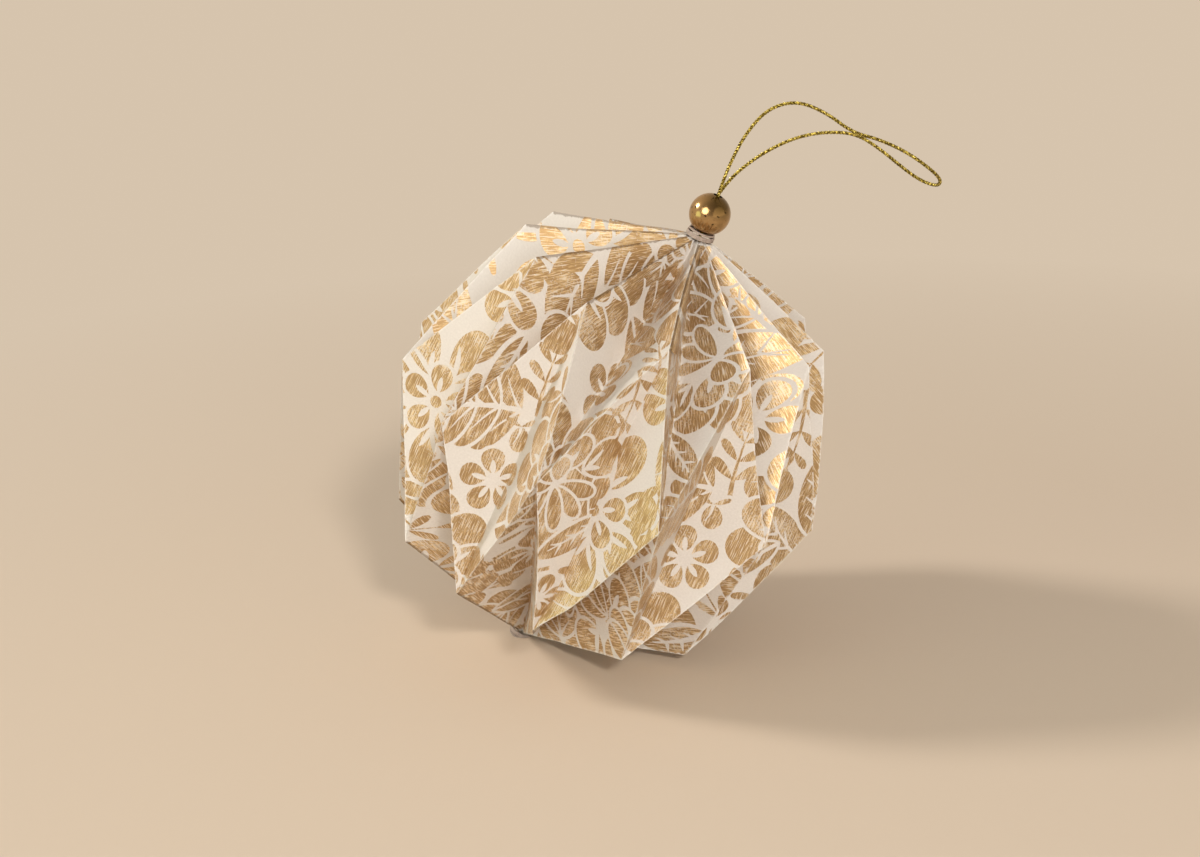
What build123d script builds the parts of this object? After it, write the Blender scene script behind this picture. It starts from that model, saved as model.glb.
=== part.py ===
from build123d import *
import math
import os

os.makedirs("parts", exist_ok=True)

# Driving dimensions, in millimetres. The origin is the point where the hanging cord leaves the bead,
# and the pleat axis is Z, with the ball below the origin. Heights and drops of the sheet are measured
# from its equator.
pleat_count = 12
paper_thickness = 0.25
equator_radius = 45.0
upper_shoulder_radius = 31.8
upper_shoulder_height = 30.6
lower_shoulder_radius = 34.3
lower_shoulder_drop = 33.0
upper_valley_radius = 18.6
upper_valley_height = 21.6
lower_valley_radius = 20.6
lower_valley_drop = 24.0
upper_throat_radius = 6.4
upper_throat_height = 31.8
lower_throat_radius = 7.0
lower_throat_drop = 37.4
upper_neck_height = 41.6
lower_neck_drop = 49.4
neck_ridge_radius = 2.35
neck_valley_radius = 1.45
collar_height = 1.4

bead_radius = 4.0
bead_bore_radius = 0.9
bead_seat_clearance = 0.03

binding_thread_diameter = 0.44
binding_turns = 3
binding_clearance = 0.02

cord_diameter = 0.7
cord_sides = 12
strand_spacing = 0.8
knot_turns = 3
knot_shoulder = 0.3
knot_seat_clearance = 0.1

# The corners of two neighbouring creases of the sheet, as (radius, height), each in its own meridian
# half a pleat apart. Ridge creases run over the shoulders and form the floor of a groove between
# them. Valley creases come out to the equator, sink below the straight line from there to the neck,
# and drop steeply into a throat at each neck.
upper_rim_height = upper_neck_height + collar_height
lower_rim_height = -lower_neck_drop - collar_height
outer_corners = {
    "ridge upper rim": (neck_ridge_radius, upper_rim_height),
    "ridge upper neck": (neck_ridge_radius, upper_neck_height),
    "ridge upper shoulder": (upper_shoulder_radius, upper_shoulder_height),
    "ridge lower shoulder": (lower_shoulder_radius, -lower_shoulder_drop),
    "ridge lower neck": (neck_ridge_radius, -lower_neck_drop),
    "ridge lower rim": (neck_ridge_radius, lower_rim_height),
    "valley upper rim": (neck_valley_radius, upper_rim_height),
    "valley upper neck": (neck_valley_radius, upper_neck_height),
    "valley upper throat": (upper_throat_radius, upper_throat_height),
    "valley upper side": (upper_valley_radius, upper_valley_height),
    "valley equator": (equator_radius, 0),
    "valley lower side": (lower_valley_radius, -lower_valley_drop),
    "valley lower throat": (lower_throat_radius, -lower_throat_drop),
    "valley lower neck": (neck_valley_radius, -lower_neck_drop),
    "valley lower rim": (neck_valley_radius, lower_rim_height),
}


def end_walls(end):
    """The flat walls between a ridge and a valley crease, from one rim to the shoulder and equator."""
    walls = [
        (f"ridge {end} rim", f"ridge {end} neck", f"valley {end} rim"),
        (f"valley {end} rim", f"ridge {end} neck", f"valley {end} neck"),
        (f"ridge {end} neck", f"valley {end} throat", f"valley {end} neck"),
        (f"ridge {end} neck", f"valley {end} side", f"valley {end} throat"),
        (f"ridge {end} neck", f"ridge {end} shoulder", f"valley {end} side"),
        (f"ridge {end} shoulder", "valley equator", f"valley {end} side"),
    ]
    # below the equator the same walls are passed round the other way, so that they still face out
    return walls if end == "upper" else [wall[::-1] for wall in walls]


walls = end_walls("upper") + end_walls("lower")
walls.append(("ridge upper shoulder", "ridge lower shoulder", "valley equator"))
half_pleat = math.pi / pleat_count


def place(corner, azimuth):
    """A meridian corner turned to its azimuth round the pleat axis."""
    radius, height = corner
    return Vector(radius * math.cos(azimuth), radius * math.sin(azimuth), height)


def crease_azimuth(name, half):
    """Ridge creases lie on the even half pitches round the ball, valley creases on the odd ones."""
    on_this_step = name.startswith("ridge") == (half % 2 == 0)
    return (half if on_this_step else half + 1) * half_pleat


def set_back(name):
    """The inner corner that lies one paper thickness behind the walls that meet at an outer corner.

    It moves in its own meridian, square to the line between its two neighbours on the crease."""
    crease = [corner for corner in outer_corners if corner.split()[0] == name.split()[0]]
    index = crease.index(name)
    above = outer_corners[crease[max(index - 1, 0)]]
    below = outer_corners[crease[min(index + 1, len(crease) - 1)]]
    along = Vector(below[0] - above[0], 0, below[1] - above[1]).normalized()
    half = 0 if name.startswith("ridge") else 1
    azimuth = crease_azimuth(name, half)
    square = Vector(-along.Z * math.cos(azimuth), -along.Z * math.sin(azimuth), along.X)
    # how squarely each wall faces that way; the walls of an odd half pitch are mirror images
    facing = []
    for wall in walls:
        if name in wall:
            a, b, c = (place(outer_corners[corner], crease_azimuth(corner, half)) for corner in wall)
            normal = (b - a).cross(c - a).normalized()
            facing.append(normal.dot(square) if half == 0 else -normal.dot(square))
    move = paper_thickness * sum(facing) / sum(share * share for share in facing)
    radius, height = outer_corners[name]
    return (radius + move * along.Z, height - move * along.X)


inner_corners = {name: set_back(name) for name in outer_corners}


def flat_face(points):
    return Face(Wire.make_polygon(points, close=True))


def folded_sheet():
    """One strip of paper, pleated, closed into a ring and gathered at both necks."""
    faces = []
    for half in range(2 * pleat_count):
        for corners in (outer_corners, inner_corners):
            for wall in walls:
                faces.append(flat_face([place(corners[c], crease_azimuth(c, half)) for c in wall]))
        for end in ("upper", "lower"):
            ridge, valley = f"ridge {end} rim", f"valley {end} rim"
            loop = [(outer_corners, ridge), (outer_corners, valley)]
            loop += [(inner_corners, valley), (inner_corners, ridge)]
            rim = [place(corners[c], crease_azimuth(c, half)) for corners, c in loop]
            faces.append(flat_face(rim))
    return Solid(Shell(faces))


# The bead sits on the inner corners of the upper rim, and its upper mouth is the origin.
inner_rim_radius = inner_corners["valley upper rim"][0]
bead_above_rim = math.sqrt(bead_radius**2 - inner_rim_radius**2) + bead_seat_clearance
mouth_above_bead = math.sqrt(bead_radius**2 - bead_bore_radius**2)
bead_height = -mouth_above_bead
upper_rim_level = bead_height - bead_above_rim
equator_level = upper_rim_level - upper_rim_height


def top_bead():
    """A turned ball bead, bored through for the doubled cord."""
    ball = Sphere(bead_radius)
    bore = Cylinder(bead_bore_radius, 2 * bead_radius)
    return Pos(0, 0, bead_height) * (ball - bore)


def binding(rim_height):
    """Fine thread wound round a gathered neck, as one band with rounded shoulders."""
    inside = neck_ridge_radius + binding_clearance
    outside = inside + binding_thread_diameter
    half_height = binding_thread_diameter * (1 + (binding_turns - 1) * math.cos(math.pi / 6)) / 2
    shoulder = binding_thread_diameter / 2
    middle = rim_height - math.copysign(collar_height / 2, rim_height)
    outline = Polyline(
        (inside, -half_height),
        (outside - shoulder, -half_height),
        (outside, shoulder - half_height),
        (outside, half_height - shoulder),
        (outside - shoulder, half_height),
        (inside, half_height),
        close=True,
    )
    band = revolve(Plane.XZ * make_face(outline), Axis.Z)
    return Pos(0, 0, equator_level + middle) * band


def cord_knot():
    """The two cord strands inside the bead and neck, and the stopper knot under the neck."""
    knot_radius = strand_spacing / 2 + cord_diameter
    knot_height = knot_turns * cord_diameter
    shoulder = knot_shoulder
    # the knot's shoulder meets the valley folds where they open out below the neck
    neck_corner = inner_corners["valley upper neck"]
    throat_corner = inner_corners["valley upper throat"]
    flare = (throat_corner[0] - neck_corner[0]) / (neck_corner[1] - throat_corner[1])
    seat_drop = (knot_radius + knot_seat_clearance - neck_corner[0]) / flare
    knot_bottom = equator_level + neck_corner[1] - seat_drop - shoulder - knot_height
    outline = Polyline(
        (0, 0),
        (knot_radius - shoulder, 0),
        (knot_radius, shoulder),
        (knot_radius, knot_height - shoulder),
        (knot_radius - shoulder, knot_height),
        (0, knot_height),
        close=True,
    )
    knot = Pos(0, 0, knot_bottom) * revolve(Plane.XZ * make_face(outline), Axis.Z)
    strand = Cylinder(
        cord_diameter / 2, -knot_bottom, align=(Align.CENTER, Align.CENTER, Align.MAX)
    )
    strands = [Pos(0, side * strand_spacing / 2, 0) * strand for side in (-1, 1)]
    return knot.fuse(*strands)


# The free loop of the doubled cord: out of the bead, up, over to one side and back to the bead.
cord_route = [
    (0.0, -0.4, 0.0),
    (0.0, -0.4, 2.4),
    (-0.5, -0.9, 7.3),
    (-0.1, -1.4, 13.6),
    (1.7, -2.0, 19.5),
    (5.9, -2.9, 23.1),
    (11.6, -3.9, 23.4),
    (17.5, -4.8, 22.1),
    (22.4, -5.5, 23.0),
    (27.9, -6.2, 23.0),
    (32.9, -7.1, 22.1),
    (36.3, -5.0, 20.5),
    (36.9, -1.1, 18.3),
    (33.9, 1.5, 17.5),
    (29.9, 1.4, 18.4),
    (24.4, 1.6, 20.0),
    (19.0, 1.6, 20.9),
    (13.6, 1.6, 18.9),
    (8.9, 1.5, 15.7),
    (4.7, 1.2, 10.9),
    (1.6, 0.9, 5.6),
    (0.0, 0.4, 2.4),
    (0.0, 0.4, 0.0),
]
largest_arc_share = 0.45


def hanging_cord():
    """The cord as a plain tube of straight runs joined by tangent arcs."""
    points = [Vector(*point) for point in cord_route]
    radii = []
    for before, corner, after in zip(points, points[1:], points[2:]):
        first_run, second_run = corner - before, after - corner
        half_turn = math.radians(first_run.get_angle(second_run)) / 2
        shorter_run = min(first_run.length, second_run.length)
        radii.append(largest_arc_share * shorter_run / math.tan(half_turn))
    print("cord radii in diameters:", [round(radius / cord_diameter, 1) for radius in radii])
    path = FilletPolyline(*points, radius=radii)
    start = Plane(origin=path @ 0, z_dir=path % 0)
    section = RegularPolygon(cord_diameter / 2, cord_sides)
    tube = sweep(start * section, path=path)
    swept = section.area * path.length
    print("cord length:", round(path.length, 2), "volume share:", round(tube.volume / swept, 5))
    return tube


sheet = Pos(0, 0, equator_level) * folded_sheet()
nodes = {
    "folded_sheet": sheet,
    "upper_binding": binding(upper_rim_height),
    "lower_binding": binding(lower_rim_height),
    "top_bead": top_bead(),
    "cord_knot": cord_knot(),
    "hanging_cord": hanging_cord(),
}
for name, solid in nodes.items():
    export_step(solid, f"parts/{name}.step")
    print(name, "volume", round(solid.volume, 2), "valid", solid.is_valid)
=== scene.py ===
import math

import bmesh
import bpy
import numpy as np
from mathutils import Matrix, Vector, geometry, noise


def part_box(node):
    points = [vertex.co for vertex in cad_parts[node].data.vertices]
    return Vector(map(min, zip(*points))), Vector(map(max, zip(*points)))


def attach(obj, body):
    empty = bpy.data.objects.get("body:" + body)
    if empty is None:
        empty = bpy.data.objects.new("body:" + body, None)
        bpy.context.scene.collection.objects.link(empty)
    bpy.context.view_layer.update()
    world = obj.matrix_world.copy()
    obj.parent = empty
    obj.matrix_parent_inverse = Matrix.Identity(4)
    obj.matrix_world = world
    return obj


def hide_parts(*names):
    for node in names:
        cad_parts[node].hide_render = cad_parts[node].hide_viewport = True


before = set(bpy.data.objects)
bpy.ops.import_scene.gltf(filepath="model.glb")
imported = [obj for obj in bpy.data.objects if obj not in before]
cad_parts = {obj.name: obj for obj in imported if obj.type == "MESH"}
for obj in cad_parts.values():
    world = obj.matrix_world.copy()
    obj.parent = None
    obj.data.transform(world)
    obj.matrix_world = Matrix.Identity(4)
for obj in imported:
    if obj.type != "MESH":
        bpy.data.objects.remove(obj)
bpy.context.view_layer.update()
scene = bpy.context.scene
scene.view_settings.view_transform = "Standard"
mm = 0.001

# The camera stands in front of the ball, a little above its middle, and is rolled, because the ball
# lies tipped over on the table while the model keeps its pleat axis upright.
camera_data = bpy.data.cameras.new("camera")
camera_data.lens = 64.13
camera_data.sensor_width = 36
camera_data.clip_start = 0.01
camera = bpy.data.objects.new("camera", camera_data)
scene.collection.objects.link(camera)
camera_right = Vector((0.92222, 0.07616, 0.37908)).normalized()
camera_back = Vector((-0.07185, -0.92958, 0.36155))
camera_back = (camera_back - camera_back.dot(camera_right) * camera_right).normalized()
camera_up = camera_back.cross(camera_right)
camera_place = Vector((-33.0, -394.6, 100.5)) * mm
camera.matrix_world = (
    Matrix.Translation(camera_place)
    @ Matrix((camera_right, camera_up, camera_back)).transposed().to_4x4()
)
scene.camera = camera


# The hanging cord is a doubled length of metallic cord, three fine strands twisted together, that
# rises from the bead, leans over to one side and comes back. Its route is the part's own.
cord_route = [
    (0.0, -0.4, 0.0), (-0.2, -0.4, 1.7), (-0.5, -0.9, 7.3), (-0.1, -1.4, 13.6),
    (1.7, -2.0, 19.5), (5.9, -2.9, 23.1), (11.6, -3.9, 23.4), (17.5, -4.8, 22.1),
    (22.4, -5.5, 23.0), (27.9, -6.2, 23.0), (32.9, -7.1, 22.1), (36.3, -5.0, 20.5),
    (36.9, -1.1, 18.3), (33.9, 1.5, 17.5), (29.9, 1.4, 18.4), (24.4, 1.6, 20.0),
    (19.0, 1.6, 20.9), (13.6, 1.6, 18.9), (8.9, 1.5, 15.7), (4.7, 1.2, 10.9),
    (1.6, 0.9, 5.6), (0.3, 0.4, 1.7), (0.0, 0.4, 0.0),
]
cord_strands = 3
cord_strand_radius = 0.00017
cord_lay_radius = 0.00018
cord_pitch = 0.0019
cord_step = 0.00018


def spline_points(route, name):
    """The points of a smooth spline through the neighbourhood of a route, in metres."""
    curve = bpy.data.curves.new(name, "CURVE")
    curve.dimensions = "3D"
    curve.resolution_u = 24
    spline = curve.splines.new("NURBS")
    spline.points.add(len(route) - 1)
    for point, place in zip(spline.points, route):
        point.co = (place[0] * mm, place[1] * mm, place[2] * mm, 1)
    spline.order_u = 3
    spline.use_endpoint_u = True
    carrier = bpy.data.objects.new(name, curve)
    scene.collection.objects.link(carrier)
    bpy.context.view_layer.update()
    sampled = bpy.data.meshes.new_from_object(carrier.evaluated_get(
        bpy.context.evaluated_depsgraph_get()))
    points = [vertex.co.copy() for vertex in sampled.vertices]
    bpy.data.objects.remove(carrier)
    return points


def even_points(points, step):
    """The same line with its points a step apart."""
    kept, carried = [points[0]], 0.0
    for before, after in zip(points, points[1:]):
        run = (after - before).length
        while carried + run >= step:
            share = (step - carried) / run
            before = before.lerp(after, share)
            kept.append(before)
            run = (after - before).length
            carried = 0.0
        carried += run
    if (points[-1] - kept[-1]).length > step * 0.3:
        kept.append(points[-1])
    return kept


def twisted_strands(name, lines, strand_radius, lay_radius, pitch, strands, sides=7):
    """Strands that wind round each line, as one mesh."""
    vertices, faces = [], []
    for line in lines:
        along = [(b - a).normalized() for a, b in zip(line, line[1:])]
        along.append(along[-1])
        across = along[0].orthogonal().normalized()
        distance = 0.0
        rings = [[] for _ in range(strands)]
        for i, (centre, ahead) in enumerate(zip(line, along)):
            across = (across - across.dot(ahead) * ahead).normalized()
            beside = ahead.cross(across)
            if i:
                distance += (centre - line[i - 1]).length
            for s in range(strands):
                turn = 2 * math.pi * (distance / pitch + s / strands)
                out = across * math.cos(turn) + beside * math.sin(turn)
                lean = (-across * math.sin(turn) + beside * math.cos(turn)) * (
                    2 * math.pi * lay_radius / pitch
                )
                forward = (ahead + lean).normalized()
                side = forward.cross(out).normalized()
                middle = centre + out * lay_radius
                ring = []
                for k in range(sides):
                    angle = 2 * math.pi * k / sides
                    ring.append(len(vertices))
                    around = out * math.cos(angle) + side * math.sin(angle)
                    vertices.append(middle + around * strand_radius)
                rings[s].append(ring)
        for tube in rings:
            for a, b in zip(tube, tube[1:]):
                for k in range(sides):
                    n = (k + 1) % sides
                    faces.append((a[k], b[k], b[n], a[n]))
            faces.append(tuple(tube[0]))
            faces.append(tuple(reversed(tube[-1])))
    mesh = bpy.data.meshes.new(name)
    mesh.from_pydata([tuple(v) for v in vertices], [], faces)
    mesh.shade_smooth()
    mesh.validate()
    piece = bpy.data.objects.new(name, mesh)
    scene.collection.objects.link(piece)
    return piece


def new_material(name):
    """An empty material and its node tree."""
    material = bpy.data.materials.new(name)
    material.use_nodes = True
    material.node_tree.nodes.clear()
    return material, material.node_tree


def add_node(tree, kind, **values):
    """A node with its settings, and its sockets set to values or linked to other sockets."""
    node = tree.nodes.new(kind)
    for name, value in values.items():
        if hasattr(node, name) and name not in node.inputs:
            setattr(node, name, value)
            continue
        key = name.replace("_", " ")
        socket = node.inputs[int(key)] if key.isdigit() else node.inputs[key]
        if isinstance(value, bpy.types.NodeSocket):
            tree.links.new(value, socket)
        else:
            socket.default_value = value
    return node


def calculate(tree, operation, *values, clamp=False):
    """The result of a sum on values or sockets."""
    node = tree.nodes.new("ShaderNodeMath")
    node.operation = operation
    node.use_clamp = clamp
    for socket, value in zip(node.inputs, values):
        if isinstance(value, bpy.types.NodeSocket):
            tree.links.new(value, socket)
        else:
            socket.default_value = value
    return node.outputs[0]


def blend_colours(tree, share, first, second):
    """A colour on the way from the first to the second."""
    node = tree.nodes.new("ShaderNodeMix")
    node.data_type = "RGBA"
    for index, value in ((0, share), (6, first), (7, second)):
        if isinstance(value, bpy.types.NodeSocket):
            tree.links.new(value, node.inputs[index])
        elif index:
            node.inputs[index].default_value = (*value, 1)
        else:
            node.inputs[index].default_value = value
    return node.outputs[2]


def finish_material(tree, **values):
    """The surface of a piece, from the settings of its shader."""
    shader = add_node(tree, "ShaderNodeBsdfPrincipled", **values)
    add_node(tree, "ShaderNodeOutputMaterial", Surface=shader.outputs[0])


cord_material, cord_tree = new_material("metallic_cord_finish")
cord_place = add_node(cord_tree, "ShaderNodeTexCoord").outputs["Object"]
cord_fleck = add_node(cord_tree, "ShaderNodeTexNoise", Vector=cord_place, Scale=2600.0, Detail=1.0)
cord_share = calculate(cord_tree, "MULTIPLY_ADD", cord_fleck.outputs["Fac"], 3.4, -1.45, clamp=True)
cord_colour = blend_colours(cord_tree, cord_share, (0.15, 0.10, 0.01), (1.0, 0.82, 0.21))
cord_bump = add_node(cord_tree, "ShaderNodeBump", Height=cord_fleck.outputs["Fac"],
                     Strength=0.5, Distance=0.0001)
finish_material(cord_tree, Base_Color=cord_colour, Metallic=0.75, Roughness=0.36,
                Normal=cord_bump.outputs["Normal"])

cord_line = spline_points(cord_route, "cord_line")
hanging_cord = twisted_strands("twisted_hanging_cord", [even_points(cord_line, cord_step)],
                               cord_strand_radius, cord_lay_radius, cord_pitch, cord_strands)
hanging_cord.data.materials.append(cord_material)
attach(hanging_cord, "root")
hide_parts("hanging_cord")

# The stopper knot ties the two strands together inside the ball, under the gathered neck, so that
# the cord carries the ball. Its strands run up through the neck and the bead.
knot_low, knot_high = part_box("cord_knot")
cord_from_axis = 0.0004
cord_end_above_knot = 0.0006
knot_wraps = 2.6
knot_wrap_radius = 0.00074
knot_wrap_foot = 0.00036
knot_wrap_rise = 0.00142
knot_strand_radius = 0.00016
knot_lay_radius = 0.00017
straight_cords = [
    [Vector((0, side * cord_from_axis,
             knot_high.z + (knot_low.z + cord_end_above_knot - knot_high.z) * i / 60))
     for i in range(61)]
    for side in (-1, 1)
]
knot_wrap = []
for i in range(140):
    share = i / 139
    turn = 2 * math.pi * knot_wraps * share
    knot_wrap.append(Vector((knot_wrap_radius * math.cos(turn), knot_wrap_radius * math.sin(turn),
                             knot_low.z + knot_wrap_foot + knot_wrap_rise * share)))
stopper_knot = twisted_strands("tied_stopper_knot", straight_cords + [knot_wrap],
                               knot_strand_radius, knot_lay_radius, cord_pitch, cord_strands, 6)
stopper_knot.data.materials.append(cord_material)
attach(stopper_knot, "root")
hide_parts("cord_knot")


# The print on the sheet is a one-colour floral in metallic gold ink on cream paper: blossoms with
# rounded petals, leaves with pale veins, leafy sprays and buds, all in flat millimetres.
print_gap = 0.7
print_shapes = []


def lobe(length, width, point=1.0, bend=0.0):
    """A petal outline along X: round at its far end, narrower at its foot."""
    count = max(10, int((length + width) / 0.62))
    turn = np.linspace(0, 2 * math.pi, count, endpoint=False)
    along = length * (1 - np.cos(turn)) / 2
    across = width / 2 * np.sin(turn) * np.sin(turn / 2) ** point
    return np.column_stack([along, across + bend * along**2 / length])


def blade(length, width, bend=0.0):
    """A leaf outline along X, pointed at both ends."""
    count = max(10, int(2 * length / 0.7))
    turn = np.linspace(0, 2 * math.pi, count, endpoint=False)
    along = length * (1 - np.cos(turn)) / 2
    across = width / 2 * np.sign(np.sin(turn)) * np.abs(np.sin(turn)) ** 1.35
    return np.column_stack([along, across + bend * along**2 / length])


def stroke(length, width, bend=0.0):
    """A tapering line along X, for stems and veins."""
    along = np.linspace(0, length, max(4, int(length / 1.4)))
    half = width / 2 * (1 - 0.75 * along / length)
    middle = bend * along**2 / length
    return np.column_stack([
        np.concatenate([along, along[::-1]]),
        np.concatenate([middle - half, (middle + half)[::-1]]),
    ])


def moved(points, x, y, degrees, away=0.0):
    """An outline pushed away from its foot, turned and put in its place."""
    c, s = math.cos(math.radians(degrees)), math.sin(math.radians(degrees))
    return (points + np.array([away, 0.0])) @ np.array([[c, s], [-s, c]]) + np.array([x, y])


def draw(points, ink=True):
    """Lays a shape of ink, or of bare paper, over the shapes drawn before it."""
    print_shapes.append((points, ink))


def petal(x, y, degrees, away, length, width, slits=2):
    """A round petal with a bare rim and fine slits at its foot."""
    halo = lobe(length + 2 * print_gap, width + 2 * print_gap, 0.45)
    draw(moved(halo, x, y, degrees, away - print_gap), False)
    draw(moved(lobe(length, width, 0.45), x, y, degrees, away))
    for side in range(slits):
        tilt = (side - (slits - 1) / 2) * 22
        slit = moved(blade(length * (0.6 - 0.16 * side), 1.15, 0.02 * tilt), 0, 0, tilt)
        draw(moved(slit, x, y, degrees, away - 0.2), False)


def side_blossom(x, y, degrees, size):
    """A blossom seen from the side: three fans of petals over a few sepals."""
    for angle, reach in ((-104, 0.82), (-72, 0.94), (-42, 1.0), (-13, 1.06), (17, 1.08), (47, 1.0),
                         (78, 0.92), (108, 0.8)):
        petal(x, y, degrees + angle, size * 0.36, size * 0.6 * reach, size * 0.5)
    for angle in (-74, -38, -2, 34, 70):
        petal(x, y, degrees + angle, size * 0.2, size * 0.4, size * 0.34, 1)
    for angle in (-40, 4, 48):
        petal(x, y, degrees + angle, size * 0.05, size * 0.27, size * 0.25, 0)
    for angle in (148, 180, 212):
        petal(x, y, degrees + angle, size * 0.04, size * 0.5, size * 0.2, 0)


def open_blossom(x, y, degrees, size):
    """A blossom seen from the front, with two rings of petals."""
    for k in range(7):
        reach = size * (0.6 + 0.07 * (k % 3))
        petal(x, y, degrees + 360 / 7 * k, size * 0.32, reach, size * 0.52)
    for k in range(5):
        petal(x, y, degrees + 18 + 72 * k, size * 0.12, size * 0.34, size * 0.32, 1)
    draw(moved(lobe(size * 0.26, size * 0.26, 0), x, y, 0, -size * 0.13), False)
    draw(moved(lobe(size * 0.15, size * 0.15, 0), x, y, 0, -size * 0.075))


def leaf(x, y, degrees, length, width, bend=0.15):
    """A pointed leaf with a bare rib and side veins."""
    halo = blade(length + 2 * print_gap, width + 2.4 * print_gap, bend)
    draw(moved(halo, x, y, degrees, -print_gap), False)
    draw(moved(blade(length, width, bend), x, y, degrees))
    draw(moved(stroke(length * 0.84, 1.0, bend), x, y, degrees), False)
    for k in range(1, 4):
        along = length * k / 4.6
        for side in (-1, 1):
            vein = moved(stroke(width * 0.42, 0.75), along, bend * along * k / 4.6, side * 38)
            draw(moved(vein, x, y, degrees), False)


def spray(x, y, degrees, length, pairs, bend=0.3, leaflet=5.6):
    """A bent stem with pairs of small round leaves."""
    draw(moved(stroke(length, 0.95, bend), x, y, degrees))
    for k in range(pairs):
        share = (k + 0.8) / (pairs + 0.4)
        lean = math.degrees(math.atan(2 * bend * share))
        size = leaflet * (1.08 - 0.3 * share)
        for side in (-1, 1):
            one = lobe(size, size * 0.46, 0.9)
            one = moved(one, length * share, bend * length * share**2, lean + side * 50, 0.2)
            draw(moved(one, x, y, degrees))
    tip = lobe(leaflet, leaflet * 0.45, 0.9)
    tip = moved(tip, length, bend * length, math.degrees(math.atan(2 * bend)))
    draw(moved(tip, x, y, degrees))


def bud(x, y, degrees, size):
    """A closed bud on two sepals."""
    draw(moved(lobe(size * 1.15, size, 0.35), x, y, degrees))
    draw(moved(stroke(size * 0.8, 0.7, 0.35), x, y, degrees), False)
    for side in (-1, 1):
        draw(moved(lobe(size * 0.8, size * 0.3, 0.8), x, y, degrees + side * 115))


def plume(x, y, degrees, length, side=1):
    """A lobed leaf: rounded fingers along one curved rib."""
    for share in (0.1, 0.28, 0.46, 0.64):
        lean = side * math.degrees(math.atan(0.56 * share))
        size = length * (0.5 - 0.2 * share)
        for s, turn in ((1, 46), (-1, 40)):
            for grow, ink in ((print_gap, False), (0, True)):
                one = lobe(size + 2 * grow, size * 0.56 + 2 * grow, 0.45, 0.14 * s)
                one = moved(one, length * share, side * 0.28 * length * share**2,
                            lean + s * turn, -grow)
                draw(moved(one, x, y, degrees), ink)
            vein = moved(stroke(size * 0.6, 0.6, 0.14 * s), length * share,
                         side * 0.28 * length * share**2, lean + s * turn)
            draw(moved(vein, x, y, degrees), False)
    tip = lobe(length * 0.46, length * 0.27, 0.5)
    tip = moved(tip, length * 0.72, side * 0.15 * length, side * 26)
    draw(moved(tip, x, y, degrees))
    draw(moved(stroke(length * 0.95, 0.8, side * 0.28), x, y, degrees), False)


def small_blossom(x, y, degrees, size):
    """A small blossom of five petals on bare ground."""
    draw(moved(lobe(size * 1.5, size * 1.5, 0), x, y, 0, -size * 0.75), False)
    for k in range(5):
        petal(x, y, degrees + 72 * k, size * 0.22, size * 0.8, size * 0.82, 1)
    draw(moved(lobe(size * 0.32, size * 0.32, 0), x, y, 0, -size * 0.16), False)


# one repeat of the print, from what lies lowest to what lies on top
repeat_width = 104.0
repeat_start = 11.0
for placed in (
    (42, 44, 62, 30, 1), (90, 100, 246, 30, -1), (8, 66, 96, 27, -1), (30, 8, 150, 26, 1),
    (60, 84, 20, 26, 1), (36, 118, 200, 26, -1), (26, 56, 175, 24, -1), (100, 120, 300, 24, 1),
    (14, 3, 14, 24, 1), (52, 24, 268, 23, -1), (2, 22, 268, 22, 1),
):
    plume(*placed)
for placed in (
    (34, 22, 4, 22, 11, 0.2), (31, 78, -35, 21, 10.5, -0.2), (88, 50, 168, 19, 9.5, 0.2),
    (48, 92, 176, 19, 9.5, 0.2), (100, 20, 62, 21, 10, -0.25), (78, 120, -24, 20, 10, 0.2),
    (28, 112, 28, 20, 10, -0.2), (3, 8, 20, 19, 9, 0.2), (72, 72, 200, 19, 9.5, 0.25),
    (2, 40, 100, 18, 9, -0.2), (60, 124, 190, 18, 9, 0.2), (88, 88, -40, 18, 9, 0.2),
):
    leaf(*placed)
for placed in (
    (34, 48, 120, 7), (62, 80, -70, 7), (91, 9, 80, 7.5), (4, 119, 20, 7.5), (76, 60, 40, 6.5),
    (46, 30, 60, 6.5), (30, 100, 10, 6.5), (98, 86, 150, 6.5), (50, 12, 200, 6),
):
    bud(*placed)
side_blossom(17, 27, 40, 18.5)
open_blossom(70, 22, 10, 17)
side_blossom(47, 63, 215, 18)
open_blossom(93, 67, 25, 16.5)
side_blossom(15, 94, -40, 18.5)
side_blossom(70, 103, 120, 18)
small_blossom(46, 4, 20, 9.5)
small_blossom(41, 93, 50, 8.5)
small_blossom(97, 104, 10, 9.0)
small_blossom(43, 37, 35, 7.5)
small_blossom(100, 40, 60, 8.0)
for placed in (
    (90, 47, -72, 20, 4, 0.2), (54, 36, 66, 15, 3, 0.25), (32, 84, 104, 15, 3, -0.25),
    (86, 92, -14, 17, 3, 0.3), (58, 12, -66, 14, 3, 0.25), (84, 0, 24, 15, 3, 0.2),
    (72, 46, 84, 13, 3, -0.2), (0, 52, 66, 14, 3, 0.25),
):
    spray(*placed)
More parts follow.
